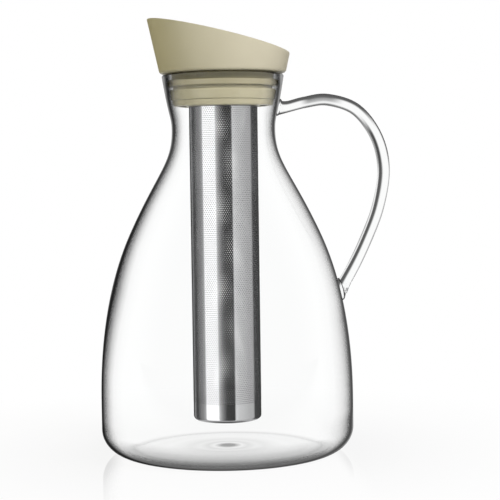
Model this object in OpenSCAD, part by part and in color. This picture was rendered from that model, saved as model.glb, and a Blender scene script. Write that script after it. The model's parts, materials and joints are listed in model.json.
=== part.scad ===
// Fruit infuser pitcher: a bell-shaped glass vessel with a welded glass handle, a flared lid with a
// slanted top, and a steel infuser tube that hangs from the lid on a ring nut.
// Millimetres. The table is at z = 0, the pitcher's axis is Z, the handle points to +X.

/* [Vessel] */
// Height of the glass rim above the table
vessel_h = 225; // [200:1:260]
// Widest outside diameter of the body
body_d = 151; // [130:1:175]
// Height up to which the body keeps its widest diameter
belly_h = 27; // [20:1:45]
// Diameter of the foot that the vessel stands on
foot_d = 118; // [104:1:124]
// Height of the rounded heel between foot and body
heel_h = 15; // [8:0.5:19]
// Outside diameter of the neck at its narrowest
neck_d = 61.6; // [58:0.2:66]
// Distance from the rim down to the narrowest part of the neck
neck_drop = 32.4; // [27:0.2:40]
// Outside diameter of the rim
rim_d = 72.4; // [69:0.2:80]
// Thickness of the glass wall
glass_t = 2.2; // [1.6:0.1:3]
// Thickness of the glass floor
floor_t = 3; // [2:0.1:5]
// Diameter of the shallow hollow under the floor
punt_d = 98; // [70:1:103]
// Rise of the hollow under the floor
punt_h = 3; // [1:0.1:6]

/* [Handle] */
// How far the handle stands out beyond the widest part of the body
handle_reach = 24.3; // [14:0.1:36]
// Diameter of the glass rod where the hand holds it
handle_d = 7.5; // [5:0.1:10]
// Diameter of the glass rod where it leaves the neck
handle_top_d = 6.3; // [5:0.1:9]
// Distance from the rim down to the handle's upper weld
handle_drop = 19.4; // [14:0.1:24]
// Height of the handle's lower weld above the table
handle_low_h = 96; // [80:1:115]
// Diameter of the spread glass at the upper weld
weld_top_d = 8.8; // [7:0.1:12]
// Diameter of the spread glass at the lower weld
weld_low_d = 10.4; // [8:0.1:14]
// Length over which the welds narrow to the rod
weld_l = 8; // [4:0.5:12]

/* [Lid shell] */
// Gap between the glass rim and the lid's underside
cap_gap = 0.9; // [0.5:0.1:2]
// Outside diameter of the lid's lower edge
cap_d = 75; // [73:0.2:84]
// Height of the lid at its pouring tip
cap_front_h = 32.4; // [30:0.2:42]
// Angle at which the lid's side flares outwards
cap_flare = 12.3; // [6:0.1:16]
// Slope of the lid's top, down towards the handle
cap_tilt = 13.8; // [8:0.1:15.5]
// Thickness of the lid's side
cap_wall = 2.2; // [1.8:0.1:3]
// Thickness of the lid's upper lip, beside the cover
cap_lip = 1.2; // [0.8:0.1:1.5]
// Thickness of the lid's floor
cap_floor_t = 2.2; // [1.6:0.1:3]
// Rounding of the lid's lower edge
cap_edge_r = 1.6; // [0.5:0.1:2]
// Thickness of the slanted cover
cover_t = 2; // [1.5:0.1:3]
// Length of the pouring mouth behind the tip
mouth_l = 14; // [9:0.5:20]

/* [Lid plug] */
// Distance from the rim down to the top of the seal
seal_drop = 3.2; // [2:0.1:5]
// Height of the seal
seal_h = 3.8; // [3:0.1:5]
// Gap between the seal and the glass
seal_gap = 0.3; // [0.2:0.05:0.6]
// Depth of the groove that holds the seal
seat_depth = 0.6; // [0.3:0.1:1]
// Height of the open groove under the seal
groove_h = 1.7; // [1:0.1:2.5]
// Height of the plug's lower ring
plug_h = 6.2; // [5:0.1:8]
// Gap between the plug's lower ring and the glass
plug_gap = 0.9; // [0.5:0.1:1.4]
// Thickness of the plug's lower ring
plug_wall = 2.2; // [1.6:0.1:2.6]
// Thickness of the plug's stem
stem_t = 2.6; // [2:0.1:2.8]
// Step of the shoulder that the lid's floor rests on
shoulder = 0.8; // [0.4:0.1:1.2]
// Step of the snap bead above the lid's floor
snap_step = 0.5; // [0.3:0.1:0.8]
// Height of the snap bead
snap_h = 1.4; // [1:0.1:2]
// Thickness of the spider that closes the infuser and lets the drink pass
spider_t = 2; // [1.4:0.1:2.6]

/* [Infuser collar] */
// Height of the collar's visible ring
collar_h = 3.4; // [2.5:0.1:5]
// Height of the threaded spigot above the ring
spigot_h = 5.6; // [5:0.1:7]
// Thickness of the spigot
spigot_t = 1.2; // [0.8:0.1:1.6]
// Radial clearance of the thread
thread_gap = 0.3; // [0.2:0.05:0.5]
// How far the collar unscrews
thread_l = 4.5; // [3:0.1:5]
// Thickness of the sleeve around the tube
sleeve_t = 1.25; // [0.8:0.05:1.6]
// Thickness of the collar's spokes
spoke_t = 2.2; // [1.4:0.1:3]
// Width of the spokes in collar and plug
spoke_w = 4; // [2.5:0.1:6]

/* [Infuser] */
// Outside diameter of the tube
infuser_d = 41; // [36:0.2:42]
// Thickness of the steel
steel_t = 0.5; // [0.4:0.05:0.8]
// Height of the infuser's base above the glass floor
infuser_clear = 13.4; // [8:0.1:20]
// Height of the plain band at the bottom
base_h = 10.6; // [6:0.1:16]
// Rounding of the bottom edge
base_edge_r = 2.4; // [1:0.1:4]
// Height of the rolled rim
bead_h = 1.5; // [1.2:0.05:1.8]
// How far the rolled rim stands out from the tube
bead_w = 1.1; // [0.6:0.05:1.3]

/* [Fits] */
// Clearance between pieces that are pushed together
fit_gap = 0.1; // [0.05:0.01:0.15]
// Clearance between pieces that move past each other
run_gap = 0.3; // [0.2:0.05:0.4]

/* [Hidden] */
$fn = 96;

// How far cuts run past the faces that they open
overrun = 1;

// Vessel: main radii and heights
body_r = body_d / 2;
foot_r = foot_d / 2;
neck_r = neck_d / 2;
rim_r = rim_d / 2;
punt_r = punt_d / 2;
neck_z = vessel_h - neck_drop;
lip_r = glass_t / 2;
flare_top_z = vessel_h - lip_r;

// Shoulder curve: place, slope and curve handles of the point where the bell turns hollow
waist_h_share = 0.63;
waist_r_share = 0.58;
waist_slope_share = 1.71;
belly_pull_share = 0.15;
waist_low_pull_share = 0.4;
waist_high_pull_share = 0.6;
neck_low_pull_share = 0.32;

// Flare curve from the neck to the rim
neck_high_pull_share = 0.26;
rim_pull_share = 0.8;
rim_slope_share = 0.9;

// Points along each stretch of the glass
heel_steps = 8;
shoulder_steps = 10;
throat_steps = 14;
flare_steps = 9;
lip_steps = 6;
punt_steps = 6;

function mix(a, b, t) = a + (b - a) * t;
function bezier(c, t) =
    pow(1 - t, 3) * c[0] + 3 * pow(1 - t, 2) * t * c[1] + 3 * (1 - t) * t * t * c[2] + pow(t, 3) * c[3];
function bezier_dir(c, t) =
    pow(1 - t, 2) * (c[1] - c[0]) + 2 * (1 - t) * t * (c[2] - c[1]) + t * t * (c[3] - c[2]);
function unit(v) = v / norm(v);
function side_of(d) = [unit(d).y, -unit(d).x];

bell_h = neck_z - belly_h;
bell_w = body_r - neck_r;
waist = [neck_r + waist_r_share * bell_w, belly_h + waist_h_share * bell_h];
waist_slope = waist_slope_share * bell_w / bell_h;
low_h = waist.y - belly_h;
high_h = neck_z - waist.y;
flare_h = flare_top_z - neck_z;
rim_slope = rim_slope_share * (rim_r - neck_r) / flare_h;

shoulder_curve = [
    [body_r, belly_h],
    [body_r, belly_h + belly_pull_share * low_h],
    [waist.x + waist_slope * waist_low_pull_share * low_h, waist.y - waist_low_pull_share * low_h],
    waist
];
throat_curve = [
    waist,
    [waist.x - waist_slope * waist_high_pull_share * high_h, waist.y + waist_high_pull_share * high_h],
    [neck_r, neck_z - neck_low_pull_share * high_h],
    [neck_r, neck_z]
];
flare_curve = [
    [neck_r, neck_z],
    [neck_r, neck_z + neck_high_pull_share * flare_h],
    [rim_r - rim_slope * rim_pull_share * flare_h, flare_top_z - rim_pull_share * flare_h],
    [rim_r, flare_top_z]
];

// Points of one curve, set in from the outer surface by the depth, without the curve's first point
function curve_points(c, steps, depth) = [
    for (i = [1 : steps]) bezier(c, i / steps) - depth * side_of(bezier_dir(c, i / steps))
];
function wall_points(depth) = concat(
    [shoulder_curve[0] - [depth, 0]],
    curve_points(shoulder_curve, shoulder_steps, depth),
    curve_points(throat_curve, throat_steps, depth),
    curve_points(flare_curve, flare_steps, depth)
);
function heel_points(side_t, bottom_t) = [
    for (i = [0 : heel_steps])
        let (a = 90 * i / heel_steps)
        [foot_r + (body_r - foot_r - side_t) * sin(a), heel_h - (heel_h - bottom_t) * cos(a)]
];

rim_dir = unit(bezier_dir(flare_curve, 1));
lip_centre = [rim_r, flare_top_z] - lip_r * side_of(rim_dir);
lip_points = [
    for (i = [1 : lip_steps - 1])
        let (a = 180 * i / lip_steps)
        lip_centre + lip_r * (cos(a) * side_of(rim_dir) + sin(a) * rim_dir)
];

// The hollow under the floor is part of a sphere
punt_ball_r = (punt_r * punt_r + punt_h * punt_h) / (2 * punt_h);
function punt_z(r) = sqrt(punt_ball_r * punt_ball_r - r * r) - punt_ball_r + punt_h;
function punt_points(lift) = [
    for (i = [0 : punt_steps])
        let (r = punt_r * i / punt_steps)
        [r, punt_z(r) + lift]
];

outer_points = concat(heel_points(0, 0), wall_points(0));
inner_points = concat(heel_points(glass_t, floor_t), wall_points(glass_t));
function reversed(v) = [for (i = [len(v) - 1 : -1 : 0]) v[i]];
function outer_r(z) = lookup(z, [for (p = outer_points) [p.y, p.x]]);
function inner_r(z) = lookup(z, [for (p = inner_points) [p.y, p.x]]);
floor_z = floor_t + punt_h;

// Lid: heights from the rim upwards and downwards
cap_z = vessel_h + cap_gap;
cap_r = cap_d / 2;
seal_top_z = vessel_h - seal_drop;
seal_bottom_z = seal_top_z - seal_h;
plug_top_z = seal_bottom_z - groove_h;
plug_bottom_z = plug_top_z - plug_h;
collar_top_z = plug_bottom_z - fit_gap;
collar_bottom_z = collar_top_z - collar_h;
spigot_top_z = collar_top_z + spigot_h;
spider_z = spigot_top_z + run_gap;
bead_top_z = spider_z - run_gap;
bead_z = bead_top_z - bead_h;
sleeve_top_z = bead_z - fit_gap;
snap_z = cap_z + cap_floor_t + fit_gap;
stem_top_z = snap_z + snap_h;

// Lid: radii from the glass inwards
plug_low_r = inner_r(plug_bottom_z) - plug_gap;
plug_high_r = inner_r(plug_top_z) - plug_gap;
collar_low_r = inner_r(collar_bottom_z - thread_l) - run_gap;
collar_high_r = inner_r(collar_top_z - thread_l) - run_gap;
thread_r = plug_low_r - plug_wall;
spigot_r = thread_r - thread_gap;
bore_r = spigot_r - spigot_t;
stem_r = bore_r + stem_t;
seat_r = stem_r - seat_depth;
tube_r = infuser_d / 2;
sleeve_r = tube_r + run_gap;
hub_r = sleeve_r + sleeve_t;

// Lid shell: the tip where the flared side meets the slanted top
flare_rise = tan(cap_flare);
tip_r = cap_r + cap_front_h * flare_rise;
tip_z = cap_z + cap_front_h;
span = 2 * tip_r;
edge_x = cap_r + cap_edge_r * (1 - sin(cap_flare)) * flare_rise - cap_edge_r * cos(cap_flare);
edge_steps = 5;
edge_points = [
    for (i = [0 : edge_steps])
        let (a = mix(-90, -cap_flare, i / edge_steps))
        [edge_x + cap_edge_r * cos(a), cap_z + cap_edge_r * (1 + sin(a))]
];

// Infuser heights
infuser_z = floor_z + infuser_clear;
base_top_z = infuser_z + base_h;

// Spokes of collar and spider stand between the four windows
spoke_angles = [45 : 90 : 315];

// Handle: centreline as shares of the way out from the glass and of the height between the welds
handle_high_z = vessel_h - handle_drop;
handle_out_x = body_r + handle_reach - handle_d / 2;
handle_high_x = outer_r(handle_high_z);
handle_low_x = outer_r(handle_low_h);
high_shares = [[0.06, 1], [0.25, 1.025], [0.47, 1.038], [0.74, 0.983], [0.93, 0.838], [1, 0.66]];
low_shares = [[0.873, 0.455], [0.576, 0.262], [0.221, 0.085]];
taper_share = 0.45;
handle_sides = 16;
handle_steps = 4;
high_weld = [handle_high_x, handle_high_z];
low_weld = [handle_low_x, handle_low_h];
function high_knot(s) = [mix(handle_high_x, handle_out_x, s.x), mix(handle_low_h, handle_high_z, s.y)];
function low_knot(s) = [mix(handle_low_x, handle_out_x, s.x), mix(handle_low_h, handle_high_z, s.y)];
low_root = handle_d * unit(low_weld - low_knot(low_shares[2]));
high_root = [-handle_d, 0];
handle_knots = concat(
    [high_weld + 2 * high_root, high_weld + high_root],
    [for (s = high_shares) high_knot(s)],
    [for (s = low_shares) low_knot(s)],
    [low_weld + low_root, low_weld + 2 * low_root]
);
// Smooth curve through the knots b and c
function through(a, b, c, d, t) =
    (2 * b + (c - a) * t + (2 * a - 5 * b + 4 * c - d) * t * t + (3 * b - a - 3 * c + d) * t * t * t) / 2;
handle_path = [
    for (k = [1 : len(handle_knots) - 3], i = [0 : handle_steps - (k < len(handle_knots) - 3 ? 1 : 0)])
        through(handle_knots[k - 1], handle_knots[k], handle_knots[k + 1], handle_knots[k + 2], i / handle_steps)
];
handle_last = len(handle_path) - 1;
function spread(p, weld, weld_d, rod_d) =
    pow(max(0, 1 - norm(p - weld) / weld_l), 2) * max(0, weld_d - rod_d) / 2;
function rod_r(j) = mix(handle_top_d, handle_d, min(1, j / handle_last / taper_share)) / 2;
function ring_r(j) =
    rod_r(j)
    + spread(handle_path[j], high_weld, weld_top_d, handle_top_d)
    + spread(handle_path[j], low_weld, weld_low_d, handle_d);
function ring_side(j) =
    side_of(handle_path[min(j + 1, handle_last)] - handle_path[max(j - 1, 0)]);
handle_points = [
    for (j = [0 : handle_last], i = [0 : handle_sides - 1])
        let (a = 360 * i / handle_sides, n = ring_side(j), out = ring_r(j) * cos(a))
        [handle_path[j].x + out * n.x, ring_r(j) * sin(a), handle_path[j].y + out * n.y]
];
function ring_point(j, i) = j * handle_sides + i % handle_sides;
handle_skin = [
    for (j = [0 : handle_last - 1], i = [0 : handle_sides - 1], half = [0, 1])
        half == 0
            ? [ring_point(j, i), ring_point(j + 1, i), ring_point(j + 1, i + 1)]
            : [ring_point(j, i), ring_point(j + 1, i + 1), ring_point(j, i + 1)]
];
handle_ends = [
    [for (i = [0 : handle_sides - 1]) ring_point(0, i)],
    [for (i = [handle_sides - 1 : -1 : 0]) ring_point(handle_last, i)]
];

// Ring of revolution with a rectangular section
module ring(r_in, r_out, z_low, z_high) {
    rotate_extrude()
        translate([r_in, z_low])
            square([r_out - r_in, z_high - z_low]);
}

// Everything below the lid's slanted top, lowered by the drop
module below_top(drop) {
    translate([-tip_r, 0, tip_z])
        rotate([0, cap_tilt, 0])
            translate([-span, -span, -span - drop])
                cube([3 * span, 2 * span, span]);
}

// Flared space inside the lid's side, set in by the inset
module flared_space(inset) {
    h = cap_front_h - cap_floor_t + overrun;
    low_r = cap_r + cap_floor_t * flare_rise - inset;
    translate([0, 0, cap_z + cap_floor_t])
        cylinder(h = h, r1 = low_r, r2 = low_r + h * flare_rise);
}

// Spokes from the hub out into the ring that carries them
module spokes(z_low, thick, r_out) {
    for (a = spoke_angles)
        rotate([0, 0, a])
            translate([hub_r - sleeve_t / 2, -spoke_w / 2, z_low])
                cube([r_out - hub_r + sleeve_t / 2, spoke_w, thick]);
}

module vessel_envelope() {
    rotate_extrude()
        polygon(concat([[0, 0]], outer_points, [[0, flare_top_z]]));
}

module glass_vessel() {
    color([0.85, 0.91, 0.92, 0.4])
        rotate_extrude()
            polygon(concat(
                punt_points(0), outer_points, lip_points, reversed(inner_points), reversed(punt_points(floor_t))
            ));
}

module handle() {
    color([0.85, 0.91, 0.92, 0.4])
        difference() {
            polyhedron(points = handle_points, faces = concat(handle_skin, handle_ends));
            vessel_envelope();
        }
}

module lid_cap() {
    top_r = tip_r + overrun * flare_rise;
    color([0.79, 0.77, 0.68])
        difference() {
            intersection() {
                rotate_extrude()
                    polygon(concat(
                        [[0, cap_z]], edge_points, [[top_r, tip_z + overrun], [0, tip_z + overrun]]
                    ));
                below_top(0);
            }
            flared_space(cap_wall);
            difference() {
                flared_space(cap_lip);
                below_top(cover_t);
            }
            translate([0, 0, cap_z - overrun])
                cylinder(h = cap_floor_t + 2 * overrun, r = stem_r + fit_gap);
        }
}

module lid_cover() {
    front_x = mouth_l - tip_r;
    color([0.79, 0.77, 0.68])
        difference() {
            intersection() {
                flared_space(cap_lip + fit_gap);
                below_top(0);
            }
            below_top(cover_t);
            translate([front_x - span, -span, cap_z])
                cube([span, 2 * span, span]);
        }
}

module lid_plug() {
    shoulder_r = stem_r + shoulder;
    seat_low_z = seal_bottom_z - fit_gap;
    seat_high_z = seal_top_z + fit_gap;
    color([0.74, 0.71, 0.6])
        union() {
            rotate_extrude()
                polygon([
                    [thread_r, plug_bottom_z], [plug_low_r, plug_bottom_z], [plug_high_r, plug_top_z],
                    [stem_r, plug_top_z], [stem_r, seat_low_z], [seat_r, seat_low_z],
                    [seat_r, seat_high_z], [shoulder_r, seat_high_z], [shoulder_r, cap_z],
                    [stem_r, cap_z], [stem_r, snap_z], [stem_r + snap_step, snap_z],
                    [stem_r, stem_top_z], [bore_r, stem_top_z], [bore_r, spider_z], [thread_r, spider_z]
                ]);
            translate([0, 0, spider_z])
                cylinder(h = spider_t, r = hub_r);
            spokes(spider_z, spider_t, bore_r + stem_t / 2);
        }
}

module neck_seal() {
    color([0.69, 0.67, 0.55])
        rotate_extrude()
            polygon([
                [seat_r + fit_gap, seal_bottom_z], [inner_r(seal_bottom_z) - seal_gap, seal_bottom_z],
                [inner_r(seal_top_z) - seal_gap, seal_top_z], [seat_r + fit_gap, seal_top_z]
            ]);
}

module infuser_collar() {
    color([0.76, 0.73, 0.62])
        union() {
            rotate_extrude()
                polygon([
                    [bore_r, collar_bottom_z], [collar_low_r, collar_bottom_z], [collar_high_r, collar_top_z],
                    [spigot_r, collar_top_z], [spigot_r, spigot_top_z], [bore_r, spigot_top_z]
                ]);
            ring(sleeve_r, hub_r, collar_bottom_z, sleeve_top_z);
            spokes(collar_bottom_z, spoke_t, bore_r + spigot_t / 2);
        }
}

module infuser_rim() {
    roll_r = bead_h / 2;
    color([0.8, 0.8, 0.8])
        rotate_extrude()
            union() {
                translate([tube_r - steel_t, bead_z])
                    square([steel_t + bead_w - roll_r, bead_h]);
                translate([tube_r + bead_w - roll_r, bead_z + roll_r])
                    circle(r = roll_r, $fn = 24);
            }
}

module infuser_tube() {
    color([0.75, 0.75, 0.76])
        ring(tube_r - steel_t, tube_r, base_top_z, bead_z);
}

module infuser_base() {
    turn_x = tube_r - base_edge_r;
    turn_z = infuser_z + base_edge_r;
    inner_edge_r = base_edge_r - steel_t;
    turn_steps = 6;
    color([0.78, 0.78, 0.79])
        rotate_extrude()
            polygon(concat(
                [[0, infuser_z]],
                [for (i = [0 : turn_steps])
                    let (a = 90 * i / turn_steps)
                    [turn_x + base_edge_r * sin(a), turn_z - base_edge_r * cos(a)]],
                [[tube_r, base_top_z], [tube_r - steel_t, base_top_z]],
                [for (i = [turn_steps : -1 : 0])
                    let (a = 90 * i / turn_steps)
                    [turn_x + inner_edge_r * sin(a), turn_z - inner_edge_r * cos(a)]],
                [[0, infuser_z + steel_t]]
            ));
}

glass_vessel();
handle();
lid_cap();
lid_cover();
lid_plug();
neck_seal();
infuser_collar();
infuser_rim();
infuser_tube();
infuser_base();
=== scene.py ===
import json
from math import atan, cos, pi, radians, sin, sqrt, tan

import bmesh
import bpy
from mathutils import Matrix, Vector

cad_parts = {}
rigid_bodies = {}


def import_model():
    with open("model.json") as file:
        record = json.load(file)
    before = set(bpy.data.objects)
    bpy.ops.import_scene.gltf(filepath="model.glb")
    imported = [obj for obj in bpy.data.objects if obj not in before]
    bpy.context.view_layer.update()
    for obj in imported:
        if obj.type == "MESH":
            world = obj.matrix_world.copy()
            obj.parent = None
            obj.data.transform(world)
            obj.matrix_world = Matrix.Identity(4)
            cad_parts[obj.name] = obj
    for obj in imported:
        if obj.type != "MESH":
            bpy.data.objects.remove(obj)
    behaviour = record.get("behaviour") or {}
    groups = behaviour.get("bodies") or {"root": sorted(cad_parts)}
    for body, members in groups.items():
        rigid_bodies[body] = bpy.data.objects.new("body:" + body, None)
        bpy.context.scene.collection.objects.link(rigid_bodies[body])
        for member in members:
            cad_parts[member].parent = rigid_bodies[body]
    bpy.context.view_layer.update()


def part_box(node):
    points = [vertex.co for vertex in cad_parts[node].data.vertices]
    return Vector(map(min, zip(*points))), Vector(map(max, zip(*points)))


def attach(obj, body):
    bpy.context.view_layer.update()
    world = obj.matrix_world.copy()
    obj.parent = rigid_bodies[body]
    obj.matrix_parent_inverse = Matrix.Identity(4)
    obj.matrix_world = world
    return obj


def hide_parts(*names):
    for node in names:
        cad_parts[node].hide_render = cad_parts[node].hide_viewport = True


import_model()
mm = 0.001  # sizes below are in millimetres, meshes in metres
touch = 0.01 * mm  # points nearer than this are merged, or lie on the same plane
ringSlack = 0.3 * mm  # how far the radius may change along an edge that runs round the axis
smoothAngle = 35  # edges that bend more than this, in degrees, stay sharp


# Small tools for modelling

def clearSelection():
    if bpy.context.mode != "OBJECT":
        bpy.ops.object.mode_set(mode="OBJECT")
    bpy.ops.object.select_all(action="DESELECT")


def takePiece(piece, mode="OBJECT"):
    clearSelection()
    piece.select_set(True)
    bpy.context.view_layer.objects.active = piece
    if mode == "EDIT":
        bpy.ops.object.mode_set(mode="EDIT")


def startPiece(name, point=True):
    # a new piece that holds one point at the origin or nothing, open in edit mode
    clearSelection()
    bpy.ops.mesh.primitive_plane_add(size=mm)
    piece = bpy.context.object
    piece.name = piece.data.name = name
    bpy.ops.object.mode_set(mode="EDIT")
    bpy.ops.mesh.select_mode(type="VERT")
    bpy.ops.mesh.select_all(action="SELECT")
    if point:
        bpy.ops.mesh.merge(type="CENTER")
    else:
        bpy.ops.mesh.delete(type="VERT")
    return piece


def pickEdges(piece, test, ringsOnly=False):
    # selects edges whose two ends pass the test, or only those of them that run round the axis
    bpy.ops.mesh.select_mode(type="EDGE")
    bpy.ops.mesh.select_all(action="DESELECT")
    mesh = bmesh.from_edit_mesh(piece.data)
    for edge in mesh.edges:
        start, end = (point.co for point in edge.verts)
        level = abs(start.xy.length - end.xy.length) < ringSlack
        edge.select_set(test(start) and test(end) and (level or not ringsOnly))
    bmesh.update_edit_mesh(piece.data)


def turnOutwards(piece):
    # flips the faces of an open sleeve that look at the axis
    bpy.ops.mesh.select_mode(type="FACE")
    bpy.ops.mesh.select_all(action="DESELECT")
    mesh = bmesh.from_edit_mesh(piece.data)
    for face in mesh.faces:
        face.select_set(face.normal.xy.dot(face.calc_center_median().xy) < 0)
    bmesh.update_edit_mesh(piece.data)
    bpy.ops.mesh.flip_normals()


def closeMesh():
    # merges doubles and turns every face outwards
    bpy.ops.mesh.select_all(action="SELECT")
    bpy.ops.mesh.remove_doubles(threshold=touch)
    bpy.ops.mesh.normals_make_consistent(inside=False)


def lathe(name, outline, turns):
    # draws an outline of (radius, height) points and spins it round the axis
    piece = startPiece(name)
    here = Vector()
    for index, (radius, height) in enumerate(outline):
        there = Vector((radius, 0, height)) * mm
        if index == 0:
            bpy.ops.transform.translate(value=there)
        else:
            bpy.ops.mesh.extrude_region_move(TRANSFORM_OT_translate={"value": there - here})
        here = there
    bpy.ops.mesh.select_all(action="SELECT")
    bpy.ops.mesh.spin(steps=turns, angle=2 * pi, center=(0, 0, 0), axis=(0, 0, 1))
    closeMesh()
    bpy.ops.object.mode_set(mode="OBJECT")
    return piece


def roundOutline(corners, steps=4):
    # closed outline from (radius, height, rounding) corners, its first point repeated at the end
    points = []
    for index, (radius, height, rounding) in enumerate(corners):
        here = Vector((radius, height))
        back = (Vector(corners[index - 1][:2]) - here).normalized()
        ahead = (Vector(corners[(index + 1) % len(corners)][:2]) - here).normalized()
        if rounding == 0:
            points.append(here)
            continue
        half = back.angle(ahead) / 2
        centre = here + (back + ahead).normalized() * rounding / sin(half)
        start = here + back * rounding / tan(half) - centre
        end = here + ahead * rounding / tan(half) - centre
        sweep = pi - 2 * half
        for step in range(steps + 1):
            share = step / steps
            arm = start * sin((1 - share) * sweep) + end * sin(share * sweep)
            points.append(centre + arm / sin(sweep))
    return points + points[:1]


def combine(piece, tool, operation, materials="INDEX"):
    # Boolean with another piece, which is used up
    takePiece(piece)
    bpy.ops.object.modifier_add(type="BOOLEAN")
    modifier = piece.modifiers[-1]
    modifier.operation = operation
    modifier.solver = "EXACT"
    modifier.material_mode = materials
    modifier.object = tool
    bpy.ops.object.modifier_apply(modifier=modifier.name)
    bpy.data.objects.remove(tool)


def dress(piece, material):
    piece.data.materials.clear()
    piece.data.materials.append(material)


def finishPiece(piece, body, nodes, material=None):
    # without a material, the piece keeps those it has
    takePiece(piece)
    bpy.ops.object.shade_smooth_by_angle(angle=radians(smoothAngle))
    if material:
        dress(piece, material)
    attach(piece, body)
    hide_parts(*nodes)
    print("piece:", piece.name, len(piece.data.polygons), "faces")


def bezier(a, b, c, d, steps):
    # points of one curve, without its first
    found = []
    for step in range(1, steps + 1):
        t = step / steps
        found.append(a * (1 - t) ** 3 + b * 3 * t * (1 - t) ** 2 + c * 3 * t * t * (1 - t) + d * t ** 3)
    return found


def setIn(points, depth):
    # an open outline moved sideways, towards the axis when it runs upwards
    moved = []
    for index, point in enumerate(points):
        along = (points[min(index + 1, len(points) - 1)] - points[max(index - 1, 0)]).normalized()
        moved.append(point - depth * Vector((along.y, -along.x)))
    return moved


# Small tools for materials

def srgb(red, green, blue):
    # a colour as a paint programme gives it, in the linear form that the nodes use
    parts = [value / 255 for value in (red, green, blue)]
    return [p / 12.92 if p <= 0.04045 else ((p + 0.055) / 1.055) ** 2.4 for p in parts] + [1]


def node(tree, kind, values=None, **settings):
    # a new node with constants on its sockets and settings of its own
    made = tree.nodes.new(kind)
    for name, value in settings.items():
        setattr(made, name, value)
    for entry, value in (values or {}).items():
        made.inputs[entry].default_value = value
    return made


def plug(tree, source, output, target, entry):
    tree.links.new(source.outputs[output], target.inputs[entry])


def feed(tree, target, entry, value):
    # a number or list is set on the socket, a (node, output) is linked to it
    if isinstance(value, tuple):
        plug(tree, *value, target, entry)
    else:
        target.inputs[entry].default_value = value


def calc(tree, operation, *values, kind="ShaderNodeMath"):
    made = node(tree, kind, operation=operation)
    for entry, value in enumerate(values):
        feed(tree, made, entry, value)
    return made


def vectorCalc(tree, operation, *values):
    return calc(tree, operation, *values, kind="ShaderNodeVectorMath")


def split(tree, source, output):
    made = node(tree, "ShaderNodeSeparateXYZ")
    plug(tree, source, output, made, "Vector")
    return made


def blend(tree, factor, first, second):
    made = node(tree, "ShaderNodeMix", data_type="FLOAT")
    for entry, value in (("Factor", factor), ("A", first), ("B", second)):
        feed(tree, made, entry, value)
    return made


def fade(tree, source, output, start, end):
    ends = {"From Min": start, "From Max": end}
    made = node(tree, "ShaderNodeMapRange", ends, interpolation_type="SMOOTHSTEP")
    plug(tree, source, output, made, "Value")
    return made


def ramp(tree, source, output, stops):
    made = node(tree, "ShaderNodeValToRGB")
    elements = made.color_ramp.elements
    while len(elements) < len(stops):
        elements.new(0.5)
    for element, (place, shade) in zip(elements, stops):
        element.position = place
        element.color = (shade, shade, shade, 1)
    plug(tree, source, output, made, "Fac")
    return made


def startMaterial(name, values=None):
    material = bpy.data.materials.new(name)
    material.use_nodes = True
    tree = material.node_tree
    tree.nodes.clear()
    shader = node(tree, "ShaderNodeBsdfPrincipled", values)
    output = node(tree, "ShaderNodeOutputMaterial")
    plug(tree, shader, "BSDF", output, "Surface")
    return material, tree, shader, output


def startGroup(name, entries, exits):
    group = bpy.data.node_groups.new(name, "ShaderNodeTree")
    for label, kind, value in entries:
        socket = group.interface.new_socket(label, in_out="INPUT", socket_type=kind)
        socket.default_value = value
    for label, kind in exits:
        group.interface.new_socket(label, in_out="OUTPUT", socket_type=kind)
    return group, node(group, "NodeGroupInput"), node(group, "NodeGroupOutput")


def makeGrainGroup():
    # tone drift, shine drift and a height for a surface, from two sizes of noise
    group, given, result = startGroup(
        "surfaceGrain",
        [("Tone", "NodeSocketColor", (0.5, 0.5, 0.5, 1)), ("Drift", "NodeSocketFloat", 0.05),
         ("Shine", "NodeSocketFloat", 0.4), ("Shine drift", "NodeSocketFloat", 0.1),
         ("Grain size", "NodeSocketVector", (1, 1, 1)), ("Cloud size", "NodeSocketVector", (1, 1, 1))],
        [("Colour", "NodeSocketColor"), ("Roughness", "NodeSocketFloat"), ("Height", "NodeSocketFloat")],
    )
    place = node(group, "ShaderNodeTexCoord")
    noises = {}
    for size, detail in (("Grain size", 3), ("Cloud size", 2)):
        stretch = vectorCalc(group, "MULTIPLY", (place, "Object"), (given, size))
        noise = node(group, "ShaderNodeTexNoise", {"Scale": 1, "Detail": detail})
        plug(group, stretch, "Vector", noise, "Vector")
        noises[size] = noise
    cloud = calc(group, "SUBTRACT", (noises["Cloud size"], "Fac"), 0.5)
    fleck = calc(group, "SUBTRACT", (noises["Grain size"], "Fac"), 0.5)
    both = calc(group, "ADD", (cloud, 0), (fleck, 0))
    drift = calc(group, "MULTIPLY", (both, 0), (given, "Drift"))
    bright = calc(group, "ADD", (drift, 0), 1)
    tint = node(group, "ShaderNodeHueSaturation")
    plug(group, bright, 0, tint, "Value")
    plug(group, given, "Tone", tint, "Color")
    shineDrift = calc(group, "MULTIPLY", (both, 0), (given, "Shine drift"))
    shine = calc(group, "ADD", (shineDrift, 0), (given, "Shine"))
    plug(group, tint, "Color", result, "Colour")
    plug(group, shine, 0, result, "Roughness")
    plug(group, noises["Grain size"], "Fac", result, "Height")
    return group


grainGroup = makeGrainGroup()


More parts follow.
